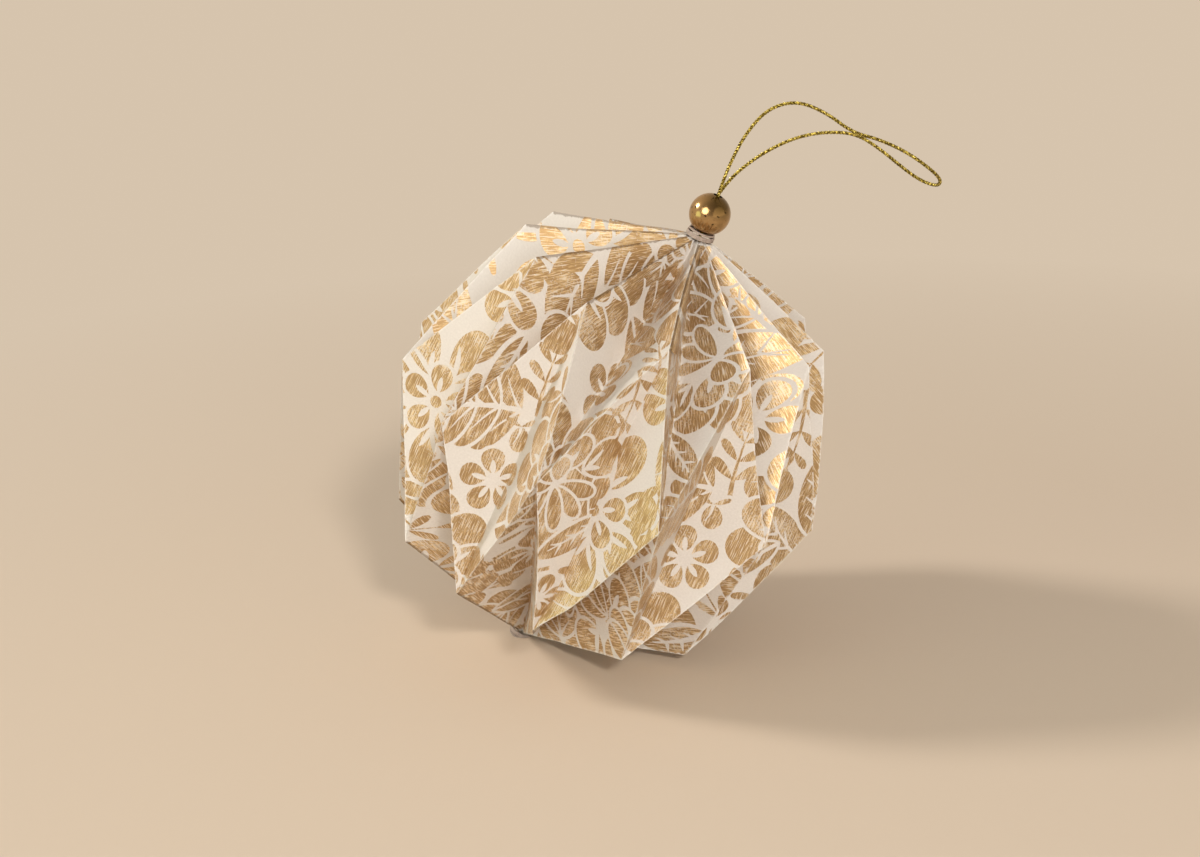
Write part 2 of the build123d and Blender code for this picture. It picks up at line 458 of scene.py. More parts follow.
# smaller pieces fill the bare ground between them
for placed in (
    (24, 71, 105, 6.5), (77, 1, 45, 5.9), (46, 107, 45, 5.8), (55, 87, 270, 5.6), (30, 2, 0, 5.5),
    (0, 2, 195, 5.5), (91, 24, 120, 5.5),
):
    small_blossom(*placed)
for placed in (
    (70, 65, 240, 18, 7.4, 0.1), (62, 68, 135, 16, 5.8, 0.1), (89, 124, 345, 18, 5.7, 0.1),
    (5, 40, 60, 15, 5.0, 0.1), (49, 87, 75, 16, 4.5, 0.1),
):
    leaf(*placed)
for placed in (
    (93, 28, 150, 14, 3, 0.15, 6.7), (27, 56, 255, 13, 3, 0.15, 5.6),
    (19, -1, 165, 14, 3, 0.15, 5.2), (54, 80, 165, 14, 3, 0.15, 5.1),
    (60, 39, 240, 10, 3, 0.15, 4.6), (71, 61, 60, 10, 3, 0.15, 4.4),
):
    spray(*placed)
for placed in ((86, 42, 195, 7.2), (31, 12, 15, 7.1), (68, 40, 120, 7.0), (25, 59, 75, 4.4)):
    bud(*placed)

# The ball is one strip of printed craft paper, about 127 by 380 mm, creased into 24 columns with
# zigzag diagonals, glued end to end into a ring and drawn together at both ends.
strip_height = 127.0
column_width = 15.9
pleats = 12
paper_thickness = 0.25
upper_rim_height = 43.0
equator_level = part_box("folded_sheet")[1].z / mm - upper_rim_height
neck_radii = (2.35, 1.45)
ends = {
    1: {"neck": 41.6, "shoulder": (31.8, 30.6), "throat": (6.4, 31.8), "side": (18.6, 21.6)},
    -1: {"neck": 49.4, "shoulder": (34.3, 33.0), "throat": (7.0, 37.4), "side": (20.6, 24.0)},
}
equator_radius = 45.0
quarter = strip_height / 4
# how softly the valleys bend, in millimetres: at their ends, and what is added halfway
narrow_bend, wide_bend = 0.25, 2.6


def round_axis(radius, azimuth, height):
    """A point round the pleat axis, in millimetres from the equator's centre."""
    return np.stack([radius * np.cos(azimuth), radius * np.sin(azimuth), height + 0 * radius], -1)


def azimuth_of(step):
    """Where a crease lies round the ball, in half pleats from the seam at the front."""
    return -math.pi / 2 + step * math.pi / pleats


def valley_profile(end, shares):
    """Radius and height of the valley crease, at shares of its way from the neck to the equator."""
    fold = ends[end]
    corners = np.array([(neck_radii[1], fold["neck"]), fold["throat"], fold["side"],
                        (equator_radius, 0)])
    runs = np.concatenate([[0], np.cumsum(np.linalg.norm(np.diff(corners, axis=0), axis=1))])
    steps, reach = 401, 30
    even = np.linspace(0, 1, steps)
    line = np.column_stack([np.interp(even, runs / runs[-1], corners[:, k]) for k in (0, 1)])
    chord = corners[0] + (corners[-1] - corners[0]) * even[:, None]
    sag = line - chord
    # the paper takes the corners of this line as soft bends
    window = 2 * reach + 1
    for _ in range(3):
        padded = np.concatenate([-sag[reach:0:-1], sag, -sag[-2:-reach - 2:-1]])
        sums = np.cumsum(np.concatenate([np.zeros((1, 2)), padded]), axis=0)
        sag = (sums[window:] - sums[:-window])[:steps] / window
        sag -= sag[:1] * (1 - even[:, None]) + sag[-1:] * even[:, None]
    line = chord + sag
    return np.column_stack([np.interp(shares, even, line[:, k]) for k in (0, 1)])


def ridge_line(end, shares, azimuth):
    """Points on a ridge crease, at shares of its way from the neck to the shoulder."""
    fold = ends[end]
    radius = neck_radii[0] + (fold["shoulder"][0] - neck_radii[0]) * shares
    height = fold["neck"] + (fold["shoulder"][1] - fold["neck"]) * shares
    return round_axis(radius, azimuth, end * height)


def valley_line(end, shares, azimuth):
    """Points on a valley crease, at shares of its way from the neck to the equator."""
    profile = valley_profile(end, shares)
    return round_axis(profile[:, 0], azimuth, end * profile[:, 1])


def valley_crop(end, shares, ridge, valley):
    """The share of a column's width that shows before the valley hides the rest."""
    shoulder = np.array([ends[end]["shoulder"][0], 0, ends[end]["shoulder"][1]])
    half = math.pi / pleats
    peak = np.array([equator_radius * math.cos(half), equator_radius * math.sin(half), 0])
    whole = np.linalg.norm(shoulder - peak) / math.hypot(column_width, quarter)
    shown = np.linalg.norm(ridge - valley, axis=1) / np.hypot(column_width, shares * quarter)
    return shown / whole


def sinking_part(end, across, shares, ridge_azimuth, valley_azimuth):
    """The part of a wall from the neck to the diagonal crease, which sinks toward the valley."""
    ridge = ridge_line(end, shares, ridge_azimuth)
    valley = valley_line(end, shares, valley_azimuth)
    crop = valley_crop(end, shares, ridge, valley)
    to_valley = np.clip(across / (column_width * crop), 0, 1)
    places = ridge + (valley - ridge) * to_valley[:, None]
    # valleys are soft bends, so the paper stays clear of the line where the walls would meet
    step = 0.01
    ahead = valley_profile(end, np.clip(shares + step, 0, 1))
    ahead = ahead - valley_profile(end, np.clip(shares - step, 0, 1))
    ahead /= np.linalg.norm(ahead, axis=1)[:, None]
    out = round_axis(-ahead[:, 1], valley_azimuth, end * ahead[:, 0])
    reach = np.linalg.norm(ridge - valley, axis=1)
    steep = np.einsum("ij,ij->i", ridge - valley, out) / reach
    distance = (1 - to_valley) * reach
    bend = narrow_bend + wide_bend * np.sin(math.pi * shares) ** 1.5
    bend *= np.clip((1 - shares) / 0.06, 0, 1)
    rise = steep * (np.sqrt(distance**2 + bend**2) - distance)
    rise *= 1 - (1 - to_valley) ** 6
    return places + out * rise[:, None]


def middle_part(end, across, from_rim, ridge_azimuth, valley_azimuth):
    """The flat triangle of a wall between the two shoulders and the equator."""
    near, far = (round_axis(np.array([ends[side]["shoulder"][0]]), ridge_azimuth,
                            side * ends[side]["shoulder"][1])[0] for side in (end, -end))
    peak = round_axis(np.array([equator_radius]), valley_azimuth, 0.0)[0]
    to_peak = across / column_width
    to_far = (from_rim - quarter - quarter * to_peak) / (2 * quarter)
    return near + (peak - near) * to_peak[:, None] + (far - near) * to_far[:, None]


def wall_places(x, y, ridge_azimuth, valley_azimuth):
    """Where flat points of one wall lie on the folded ball. X runs from the ridge to the valley."""
    places = np.zeros((len(x), 3))
    upper_half = y <= strip_height / 2
    for end in (1, -1):
        mine = upper_half if end == 1 else ~upper_half
        if not mine.any():
            continue
        across = x[mine]
        from_rim = y[mine] if end == 1 else strip_height - y[mine]
        shares = np.clip(4 * from_rim / (strip_height * (1 + across / column_width)), 0, None)
        sinking = sinking_part(end, across, np.minimum(shares, 1), ridge_azimuth, valley_azimuth)
        middle = middle_part(end, across, from_rim, ridge_azimuth, valley_azimuth)
        places[mine] = np.where((shares > 1)[:, None], middle, sinking)
    return places


def flat_valley(end, shares):
    """The valley edge of a wall in flat millimetres."""
    ridge = ridge_line(end, shares, 0.0)
    valley = valley_line(end, shares, math.pi / pleats)
    x = column_width * valley_crop(end, shares, ridge, valley)
    y = shares * quarter * (1 + x / column_width)
    return x, (y if end == 1 else strip_height - y)


def clip_outline(points, axis, limit, keep_above):
    """The part of an outline on one side of a line across the wall."""
    kept = []
    side = (points[:, axis] - limit) * (1 if keep_above else -1)
    for i in range(len(points)):
        a, b = points[i - 1], points[i]
        if (side[i - 1] >= 0) != (side[i] >= 0):
            share = side[i - 1] / (side[i - 1] - side[i])
            kept.append(a + (b - a) * share)
        if side[i] >= 0:
            kept.append(b)
    return np.array(kept)


def inside_outline(outline, x, y):
    """Which of the points lie inside an outline."""
    inside = np.zeros(len(x), bool)
    for (x0, y0), (x1, y1) in zip(outline, np.roll(outline, -1, axis=0)):
        if y0 == y1:
            continue
        crosses = (y0 > y) != (y1 > y)
        inside ^= crosses & (x < (x1 - x0) * (y - y0) / (y1 - y0) + x0)
    return inside


def wall_print(column):
    """The print outlines that fall on one column, in that wall's own flat millimetres."""
    found = []
    bare_rim = 0.5
    for points, ink in print_shapes:
        for turn in range(-1, 5):
            along = points[:, 0] + turn * repeat_width + repeat_start
            if column % 2 == 0:
                x = along - column * column_width
            else:
                x = (column + 1) * column_width - along
            if x.max() <= 0 or x.min() >= column_width:
                continue
            for lift in (-strip_height, 0, strip_height):
                y = points[:, 1] + lift
                if y.max() <= bare_rim or y.min() >= strip_height - bare_rim:
                    continue
                outline = np.column_stack([x, y])
                for axis, limit, above in (
                    (0, 0.0, True), (0, column_width, False),
                    (1, bare_rim, True), (1, strip_height - bare_rim, False),
                ):
                    if len(outline) > 2:
                        outline = clip_outline(outline, axis, limit, above)
                if len(outline) > 2:
                    found.append((outline, ink))
    return found


# hand folding leaves the corners a little off: each is a crease, which corner of that crease, and
# how far it lies to the right and up in the camera's view
corner_places = {
    "upper": (ends[1]["shoulder"][0], ends[1]["shoulder"][1]),
    "equator": (equator_radius, 0.0),
    "lower": (ends[-1]["shoulder"][0], -ends[-1]["shoulder"][1]),
}
uneven_corners = [
    (0, "upper", 0.0, -1.4), (-2, "upper", -0.5, -0.4), (4, "upper", 0.2, 0.8),
    (6, "upper", -0.7, 0.2), (-3, "equator", -0.4, -0.6), (-1, "equator", -0.4, 0.6),
    (3, "equator", 0.6, 0.8), (5, "equator", -1.0, 0.2), (0, "lower", -0.6, 1.4),
    (9, "equator", 0.3, 0.7), (12, "upper", -0.4, -0.6), (15, "equator", 0.5, -0.5),
    (14, "lower", 0.4, 0.5), (18, "upper", 0.5, 0.3), (10, "lower", -0.4, -0.6),
]
corner_softness = 7.5
wave_size, wave_length = 0.35, 15
# without a seed of its own the noise takes one from the clock
noise.seed_set(12)


def uneven(places):
    """The folded places with the corners pushed and a slight waviness in the walls."""
    moved_places = places.copy()
    away = np.hypot(places[:, 0], places[:, 1])
    loose_share = np.clip((away - 4) / 8, 0, 1)[:, None]
    for step, name, right, up in uneven_corners:
        radius, height = corner_places[name]
        corner = round_axis(np.array([radius]), azimuth_of(step), height)[0]
        push = np.array(camera_right) * right + np.array(camera_up) * up
        near = np.exp(-((places - corner) ** 2).sum(axis=1) / corner_softness**2)
        moved_places += near[:, None] * push
    waves = np.array([tuple(noise.noise_vector(Vector(place) / wave_length)) for place in places])
    return moved_places + waves * loose_share * wave_size


def cut_wall(ridge_steps, valley_shares, lines, loose=()):
    """Triangles over one flat wall, cut along its border, its diagonal creases and other lines."""
    points, edges = [], []
    upper = np.column_stack(flat_valley(1, valley_shares[1]))
    lower = np.column_stack(flat_valley(-1, valley_shares[-1]))
    border = np.concatenate([
        np.column_stack([0 * ridge_steps, ridge_steps])[::-1], upper, lower[::-1][1:]])
    corner, low_corner, high_corner = (column_width, 2 * quarter), (0, quarter), (0, 3 * quarter)
    closed = [border] + [line for line in lines if len(line) > 2]
    opened = [(low_corner, corner), (corner, high_corner)]
    opened += [line for line in lines if len(line) == 2]
    for group, close in ((closed, True), (opened, False)):
        for line in group:
            start, count = len(points), len(line)
            points.extend(Vector((float(px), float(py))) for px, py in line)
            edges.extend((start + i, start + (i + 1) % count) for i in range(count - (not close)))
    points.extend(Vector((float(px), float(py))) for px, py in loose)
    flat, _, faces, _, _, _ = geometry.delaunay_2d_cdt(points, edges, [], 0, 0.0004, False)
    flat = np.array([tuple(v) for v in flat])
    faces = np.array(faces)
    middle = flat[faces].mean(axis=1)
    inside = inside_outline(border, middle[:, 0], middle[:, 1])
    return flat, faces[inside], middle[inside]


smallest_patch = 0.7


def touching_faces(faces):
    """The faces on both sides of each edge."""
    owners = {}
    for index, (a, b, c) in enumerate(faces.tolist()):
        for edge in ((a, b), (b, c), (c, a)):
            owners.setdefault((min(edge), max(edge)), []).append(index)
    return owners


def from_border(flat):
    """How far flat points lie inside the ridge and the valley edge, in millimetres."""
    from_rim = np.minimum(flat[:, 1], strip_height - flat[:, 1])
    shares = from_rim / (quarter * (1 + flat[:, 0] / column_width))
    dense = np.linspace(0, 1, 201)
    upper_edge, lower_edge = (np.interp(shares, dense, flat_valley(end, dense)[0])
                              for end in (1, -1))
    edge = np.where(flat[:, 1] < strip_height / 2, upper_edge, lower_edge)
    return flat[:, 0], edge - flat[:, 0], shares


def clear_specks(flat, faces, owners, inked):
    """Turns specks of ink to bare paper, and specks of bare paper to ink."""
    beside = [[] for _ in faces]
    at_border = np.zeros(len(faces), bool)
    for sides in owners.values():
        if len(sides) == 2:
            beside[sides[0]].append(sides[1])
            beside[sides[1]].append(sides[0])
        else:
            at_border[sides[0]] = True
    a, b, c = (flat[faces[:, k]] for k in range(3))
    areas = np.abs((b - a)[:, 0] * (c - a)[:, 1] - (b - a)[:, 1] * (c - a)[:, 0]) / 2
    seen = np.zeros(len(faces), bool)
    for first in range(len(faces)):
        if seen[first]:
            continue
        seen[first] = True
        patch, waiting = [], [first]
        while waiting:
            index = waiting.pop()
            patch.append(index)
            for other in beside[index]:
                if not seen[other] and inked[other] == inked[first]:
                    seen[other] = True
                    waiting.append(other)
        if areas[patch].sum() < smallest_patch and not at_border[patch].any():
            inked[patch] = ~inked[first]


def drop_needless(ties, flat, from_edge, held):
    """Takes the points out of the print's lines that lie almost in line with their neighbours."""
    for vertex in sorted(ties) * 2:
        if len(ties[vertex]) != 2 or held[vertex]:
            continue
        before, after = ties[vertex]
        span = flat[after] - flat[before]
        length = np.hypot(*span)
        arm = flat[vertex] - flat[before]
        bulge = abs(span[0] * arm[1] - span[1] * arm[0]) / max(length, 1e-6)
        if bulge < 0.02 or (from_edge[vertex] < 0.12 and bulge < 0.3):
            ties[before].discard(vertex)
            ties[after].discard(vertex)
            ties[vertex] = set()
            if after != before:
                ties[before].add(after)
                ties[after].add(before)


def print_lines(outlines):
    """The lines between ink and bare paper on a wall, without specks and needless points."""
    even = {1: np.linspace(0, 1, 61), -1: np.linspace(0, 1, 61)}
    flat, faces, middle = cut_wall(np.linspace(0, strip_height, 25), even,
                                   [outline for outline, _ in outlines])
    inked = ink_at(outlines, middle)
    owners = touching_faces(faces)
    clear_specks(flat, faces, owners, inked)
    ties = {}
    for (start, finish), sides in owners.items():
        if len(sides) == 2 and inked[sides[0]] != inked[sides[1]]:
            ties.setdefault(start, set()).add(finish)
            ties.setdefault(finish, set()).add(start)
    inward, outward, shares = from_border(flat)
    from_edge = np.minimum(inward, outward)
    drop_needless(ties, flat, from_edge, (from_edge < 0.004) | (np.abs(shares - 1) < 0.0005))
    pairs = [(v, other) for v, others in ties.items() for other in others if v < other]
    return flat, pairs, inward, outward, shares


def ink_at(outlines, middle):
    """Which of the points are inked, going by the last outline that covers each."""
    inked = np.zeros(len(middle), bool)
    for outline, ink in outlines:
        low, high = outline.min(axis=0), outline.max(axis=0)
        near = np.nonzero(((middle > low) & (middle < high)).all(axis=1))[0]
        inked[near[inside_outline(outline, middle[near, 0], middle[near, 1])]] = ink
    return inked


def merged_steps(even, extra, least):
    """Even steps along an edge with the print's own points among them, none too close."""
    kept = [even[0]]
    for step in np.unique(np.concatenate([extra, even[1:-1]])):
        if step - kept[-1] > least and even[-1] - step > least:
            kept.append(step)
    return np.array(kept + [even[-1]])


outlines = [wall_print(column) for column in range(2 * pleats)]
wall_lines = [print_lines(found) for found in outlines]
edge_reach = 0.02


def ridge_points(column):
    """Where the print's lines of a wall meet its ridge."""
    flat, pairs, inward, _, _ = wall_lines[column]
    return [flat[v][1] for pair in pairs for v in pair if inward[v] < edge_reach]


def valley_points(column, end):
    """Where the print's lines of a wall meet its valley, as shares of the way to the equator."""
    flat, pairs, _, outward, shares = wall_lines[column]
    return [shares[v] for pair in pairs for v in pair if outward[v] < edge_reach
            and (flat[v][1] < strip_height / 2) == (end == 1)]


def wall_edges(column):
    """The steps along a wall's ridge and valley, the same for the neighbour beyond each."""
    over_ridge = (column - 1 if column % 2 == 0 else column + 1) % (2 * pleats)
    over_valley = column + 1 if column % 2 == 0 else column - 1
    even = np.sort(np.append(np.linspace(0, strip_height, 41), [quarter, 3 * quarter]))
    steps = merged_steps(even, ridge_points(column) + ridge_points(over_ridge), 0.15)
    shares = {end: merged_steps(np.linspace(0, 1, 25),
                                valley_points(column, end) + valley_points(over_valley, end), 0.004)
              for end in (1, -1)}
    return steps, shares


def fill_wall(column):
    """Triangles over one wall and which of them are inked."""
    steps, shares_kept = wall_edges(column)
    flat, pairs, inward, outward, shares = wall_lines[column]
    # the print's lines end on the points that both neighbours share
    moved_points = flat.copy()
    for v in {v for pair in pairs for v in pair}:
        if inward[v] < edge_reach:
            moved_points[v] = 0.0, steps[np.abs(steps - flat[v][1]).argmin()]
        elif outward[v] < edge_reach:
            end = 1 if flat[v][1] < strip_height / 2 else -1
            nearest = shares_kept[end][np.abs(shares_kept[end] - shares[v]).argmin()]
            moved_points[v] = [axis[0] for axis in flat_valley(end, np.array([nearest]))]
    lines = [moved_points[list(pair)] for pair in pairs]
    lines = [line for line in lines if np.hypot(*(line[1] - line[0])) > 0.001]
    # more points lie near the valley, where the paper bends most
    loose = []
    for end in (1, -1):
        for share in np.linspace(0.08, 0.98, 13):
            edge, _ = flat_valley(end, np.array([share]))
            for part in (0.14, 0.36, 0.58, 0.76, 0.88, 0.95):
                x = edge[0] * part
                y = share * quarter * (1 + x / column_width)
                loose.append((x, y if end == 1 else strip_height - y))
    for x in np.arange(2, column_width - 1, 4.0):
        crease = quarter * (1 + x / column_width)
        loose.extend((x, y) for y in np.arange(crease + 2, strip_height - crease - 1, 4.5))
    flat, faces, middle = cut_wall(steps, shares_kept, lines, loose)
    return flat, faces, ink_at(outlines[column], middle)


sheet_points, sheet_faces, sheet_inks, sheet_flat = [], [], [], []
for column in range(2 * pleats):
    flat, faces, inked = fill_wall(column)
    even_column = column % 2 == 0
    ridge_step = column if even_column else column + 1
    valley_step = column + 1 if even_column else column
    places = wall_places(flat[:, 0], flat[:, 1], azimuth_of(ridge_step), azimuth_of(valley_step))
    along = column * column_width + flat[:, 0] if even_column else (
        (column + 1) * column_width - flat[:, 0])
    first = sum(len(p) for p in sheet_points)
    sheet_points.append(uneven(places))
    sheet_flat.append(np.column_stack([along, flat[:, 1]]))
    sheet_faces.append((faces[:, ::-1] if even_column else faces) + first)
    sheet_inks.append(inked)

# the end of the strip laps over the first ridge as a narrow tab whose free edge stands off a little
tab_width, tab_lift, tab_gap = 2.6, 0.8, 0.3
tab_shares = np.linspace(0.03, 0.985, 44)
tab_count = len(tab_shares)
tab_reach = tab_width * np.clip(np.minimum(tab_shares, 1 - tab_shares) / 0.05, 0.25, 1)
tab_y = tab_shares * quarter
on_ridge = wall_places(0 * tab_y, tab_y, azimuth_of(0), azimuth_of(1))
on_wall = wall_places(tab_reach, tab_y, azimuth_of(0), azimuth_of(1))
off_wall = np.cross(on_wall - on_ridge, np.gradient(on_ridge, axis=0))
off_wall /= np.linalg.norm(off_wall, axis=1)[:, None]
off_wall *= np.sign((off_wall * on_wall).sum(axis=1))[:, None]
ragged_lift = tab_lift * (1 + 0.35 * np.sin(tab_shares * 23) * np.sin(tab_shares * 9 + 1))
tab_start = sum(len(p) for p in sheet_points)
for out_share, lift_share in ((0.0, 0.0), (0.5, 0.25), (1.0, 0.55)):
    tab_row = on_ridge * (1 - out_share) + on_wall * out_share
    tab_row += off_wall * (tab_gap + lift_share * ragged_lift[:, None])
    sheet_points.append(uneven(tab_row))
    sheet_flat.append(np.column_stack([2 * pleats * column_width + tab_reach * out_share, tab_y]))
tab_faces = []
for row in (0, 1):
    for i in range(tab_count - 1):
        a = tab_start + row * tab_count + i
        tab_faces += [(a, a + 1, a + tab_count), (a + 1, a + tab_count + 1, a + tab_count)]
sheet_faces.append(np.array(tab_faces))
sheet_inks.append(np.repeat([i % 22 not in (6, 7, 8) for i in range(tab_count - 1)] * 2, 2))

sheet_points = np.concatenate(sheet_points)
sheet_points[:, 2] += equator_level
sheet_mesh = bpy.data.meshes.new("pleated_paper_ball")
sheet_faces = np.concatenate(sheet_faces)
sheet_mesh.from_pydata((sheet_points * mm).tolist(), [], sheet_faces.tolist())
sheet_mesh.polygons.foreach_set("material_index", np.concatenate(sheet_inks).astype(np.int32))
# the flat sheet is the map of the paper's grain, in units of 100 mm
flat_map = sheet_mesh.uv_layers.new(name="flat_sheet")
flat_uv = np.concatenate(sheet_flat) / 100
loop_vertices = np.zeros(len(sheet_mesh.loops), np.int32)
sheet_mesh.loops.foreach_get("vertex_index", loop_vertices)
flat_map.data.foreach_set("uv", flat_uv[loop_vertices].ravel())
edit = bmesh.new()
edit.from_mesh(sheet_mesh)
bmesh.ops.remove_doubles(edit, verts=edit.verts, dist=0.000002)
bmesh.ops.dissolve_degenerate(edit, edges=edit.edges, dist=0.0000005)
edit.to_mesh(sheet_mesh)
edit.free()
sheet_mesh.shade_smooth()
sheet_mesh.set_sharp_from_angle(angle=math.radians(24))
paper_ball = bpy.data.objects.new("pleated_paper_ball", sheet_mesh)
scene.collection.objects.link(paper_ball)

# paper fibres, faint blotches, the worn lines along the outer folds, which also carry a painted
# highlight, and lines of painted shade beside the outer ridges, shared by paper and ink
surface = bpy.data.node_groups.new("folded_paper_surface", "ShaderNodeTree")
surface.interface.new_socket(name="Flat Place", in_out="INPUT", socket_type="NodeSocketVector")
for output_name in ("Fibre", "Blotch", "Fold Wear And Highlight", "Painted Fold Shade"):
    surface.interface.new_socket(name=output_name, in_out="OUTPUT", socket_type="NodeSocketFloat")
surface_in = surface.nodes.new("NodeGroupInput")
surface_out = surface.nodes.new("NodeGroupOutput")
flat_place = surface_in.outputs["Flat Place"]
fibre = add_node(surface, "ShaderNodeTexNoise", Vector=flat_place, Scale=260.0, Detail=4.0)
blotch = add_node(surface, "ShaderNodeTexNoise", Vector=flat_place, Scale=16.0, Detail=3.0)
ragged_line_noise = add_node(surface, "ShaderNodeTexNoise", Vector=flat_place, Scale=120.0, Detail=3.0)
flat_axes = add_node(surface, "ShaderNodeSeparateXYZ", Vector=flat_place)
# distances in units of 100 mm, counted from the nearest ridge and from the nearest end of the strip
from_ridge = calculate(surface, "PINGPONG", flat_axes.outputs["X"], column_width / 100)
from_end = calculate(surface, "PINGPONG", flat_axes.outputs["Y"], strip_height / 200)
rise = calculate(surface, "MULTIPLY_ADD", from_ridge, quarter / column_width, quarter / 100)
beyond = calculate(surface, "SUBTRACT", from_end, rise)
from_diagonal = calculate(surface, "MULTIPLY", calculate(surface, "ABSOLUTE", beyond),
                          column_width / math.hypot(column_width, quarter))
past_shoulder = calculate(surface, "GREATER_THAN", from_end, quarter / 100)
from_outer_ridge = calculate(surface, "ADD", from_ridge, past_shoulder)
from_fold = calculate(surface, "MINIMUM", from_diagonal, from_outer_ridge)
# a pale line along every outer fold: partly paper rubbed bare, partly a painted highlight of the
# rounded ridge
ragged = calculate(surface, "MULTIPLY_ADD", ragged_line_noise.outputs["Fac"], 0.010, -0.0052)
ragged = calculate(surface, "ADD", from_fold, ragged)
wear_and_highlight = calculate(surface, "MULTIPLY_ADD", ragged, -400.0, 1.0, clamp=True)
# one side of each outer ridge is rubbed pale and carries a painted highlight, the other holds a
# thin dark line of painted shade
across_pleat = calculate(surface, "FLOORED_MODULO", flat_axes.outputs["X"], column_width / 50)
shaded_side = calculate(surface, "LESS_THAN", across_pleat, column_width / 100)
# painted shade: a thin dark line on the far side of each outer ridge, where one wall would shade
# the next
painted_fold_shade = calculate(surface, "MULTIPLY_ADD", ragged_line_noise.outputs["Fac"], 0.007, -0.0062)
painted_fold_shade = calculate(surface, "ADD", from_outer_ridge, painted_fold_shade)
painted_fold_shade = calculate(surface, "MULTIPLY_ADD", painted_fold_shade, -700.0, 1.0, clamp=True)
painted_fold_shade = calculate(surface, "MULTIPLY", painted_fold_shade, shaded_side)
wear_and_highlight = calculate(surface, "MULTIPLY", wear_and_highlight, calculate(surface, "SUBTRACT", 1.0, painted_fold_shade))
surface.links.new(painted_fold_shade, surface_out.inputs["Painted Fold Shade"])
surface.links.new(fibre.outputs["Fac"], surface_out.inputs["Fibre"])
surface.links.new(blotch.outputs["Fac"], surface_out.inputs["Blotch"])
surface.links.new(wear_and_highlight, surface_out.inputs["Fold Wear And Highlight"])

paper_material, paper_tree = new_material("cream_paper")
paper_place = add_node(paper_tree, "ShaderNodeUVMap", uv_map="flat_sheet").outputs["UV"]
paper_surface = add_node(paper_tree, "ShaderNodeGroup", node_tree=surface, Flat_Place=paper_place)
paper_mottle = calculate(paper_tree, "MULTIPLY_ADD", paper_surface.outputs["Fibre"],
                         1.4, -0.2, clamp=True)
paper_colour = blend_colours(paper_tree, paper_mottle, (0.615, 0.560, 0.508), (0.702, 0.648, 0.592))
# the folds are painted paler than the paper: rubbed paper and a painted highlight
worn_and_highlight_share = calculate(paper_tree, "MULTIPLY", paper_surface.outputs["Fold Wear And Highlight"], 0.6)
paper_colour = blend_colours(paper_tree, worn_and_highlight_share, paper_colour, (0.78, 0.74, 0.69))
# painted shade along the outer ridges darkens the paper
paper_painted_shade = calculate(paper_tree, "MULTIPLY", paper_surface.outputs["Painted Fold Shade"], 0.62)
paper_colour = blend_colours(paper_tree, paper_painted_shade, paper_colour, (0.17, 0.11, 0.06))
paper_bump = add_node(paper_tree, "ShaderNodeBump", Height=paper_surface.outputs["Fibre"],
                      Strength=0.18, Distance=0.0001)
finish_material(paper_tree, Base_Color=paper_colour, Roughness=0.62,
                Normal=paper_bump.outputs["Normal"])

# the ink is brushed along the strip's height, speckled, and thin where the folds have rubbed it,
# and the folds also carry a painted pale highlight
ink_material, ink_tree = new_material("gold_ink")
ink_place = add_node(ink_tree, "ShaderNodeUVMap", uv_map="flat_sheet").outputs["UV"]
ink_surface = add_node(ink_tree, "ShaderNodeGroup", node_tree=surface, Flat_Place=ink_place)
ink_stretch = add_node(ink_tree, "ShaderNodeMapping", Vector=ink_place, Scale=(600.0, 34.0, 1.0))
ink_streak = add_node(ink_tree, "ShaderNodeTexNoise", Vector=ink_stretch.outputs[0],
                      Scale=1.0, Detail=2.0)
ink_grain = add_node(ink_tree, "ShaderNodeTexNoise", Vector=ink_place, Scale=560.0, Detail=1.0)
ink_share = calculate(ink_tree, "MULTIPLY_ADD", ink_streak.outputs["Fac"], 5.5, -2.5)
ink_lift = calculate(ink_tree, "MULTIPLY_ADD", ink_surface.outputs["Blotch"], 1.6, -0.8)
ink_share = calculate(ink_tree, "ADD", ink_share, ink_lift, clamp=True)
ink_colour = blend_colours(ink_tree, ink_share, (0.475, 0.31, 0.152), (0.88, 0.69, 0.415))
thin = calculate(ink_tree, "MULTIPLY_ADD", ink_surface.outputs["Blotch"], 6.0, -8.0)
speck = calculate(ink_tree, "MULTIPLY_ADD", ink_surface.outputs["Fibre"], 9.0, thin, clamp=True)
brushed = calculate(ink_tree, "MULTIPLY_ADD", ink_streak.outputs["Fac"], 18.0, -10.6, clamp=True)
brushed = calculate(ink_tree, "MULTIPLY", brushed, 0.9)
bare = calculate(ink_tree, "MAXIMUM", calculate(ink_tree, "MULTIPLY", speck, 0.6), brushed)
bare = calculate(ink_tree, "MAXIMUM", bare, ink_surface.outputs["Fold Wear And Highlight"])
ink_colour = blend_colours(ink_tree, bare, ink_colour, (0.70, 0.63, 0.56))
# painted shade along the outer ridges darkens the ink
ink_painted_shade = calculate(ink_tree, "MULTIPLY", ink_surface.outputs["Painted Fold Shade"], 0.66)
ink_colour = blend_colours(ink_tree, ink_painted_shade, ink_colour, (0.15, 0.09, 0.045))
ink_metal = calculate(ink_tree, "MULTIPLY_ADD", bare, -0.68, 0.74)
ink_rough = calculate(ink_tree, "MULTIPLY_ADD", ink_streak.outputs["Fac"], -0.2, 0.50)
ink_height = calculate(ink_tree, "MULTIPLY_ADD", ink_grain.outputs["Fac"], 0.8,
                       ink_streak.outputs["Fac"])
ink_bump = add_node(ink_tree, "ShaderNodeBump", Height=ink_height, Strength=0.4, Distance=0.0001)
finish_material(ink_tree, Base_Color=ink_colour, Metallic=ink_metal, Roughness=ink_rough,
                Normal=ink_bump.outputs["Normal"])
# bare paper, inked paper, and their backs, which are both bare
for sheet_material in (paper_material, ink_material, paper_material, paper_material):
    sheet_mesh.materials.append(sheet_material)
thickness = paper_ball.modifiers.new("paper_thickness", "SOLIDIFY")
thickness.thickness = paper_thickness * mm
thickness.offset = -1
thickness.material_offset = 2
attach(paper_ball, "root")
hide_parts("folded_sheet")

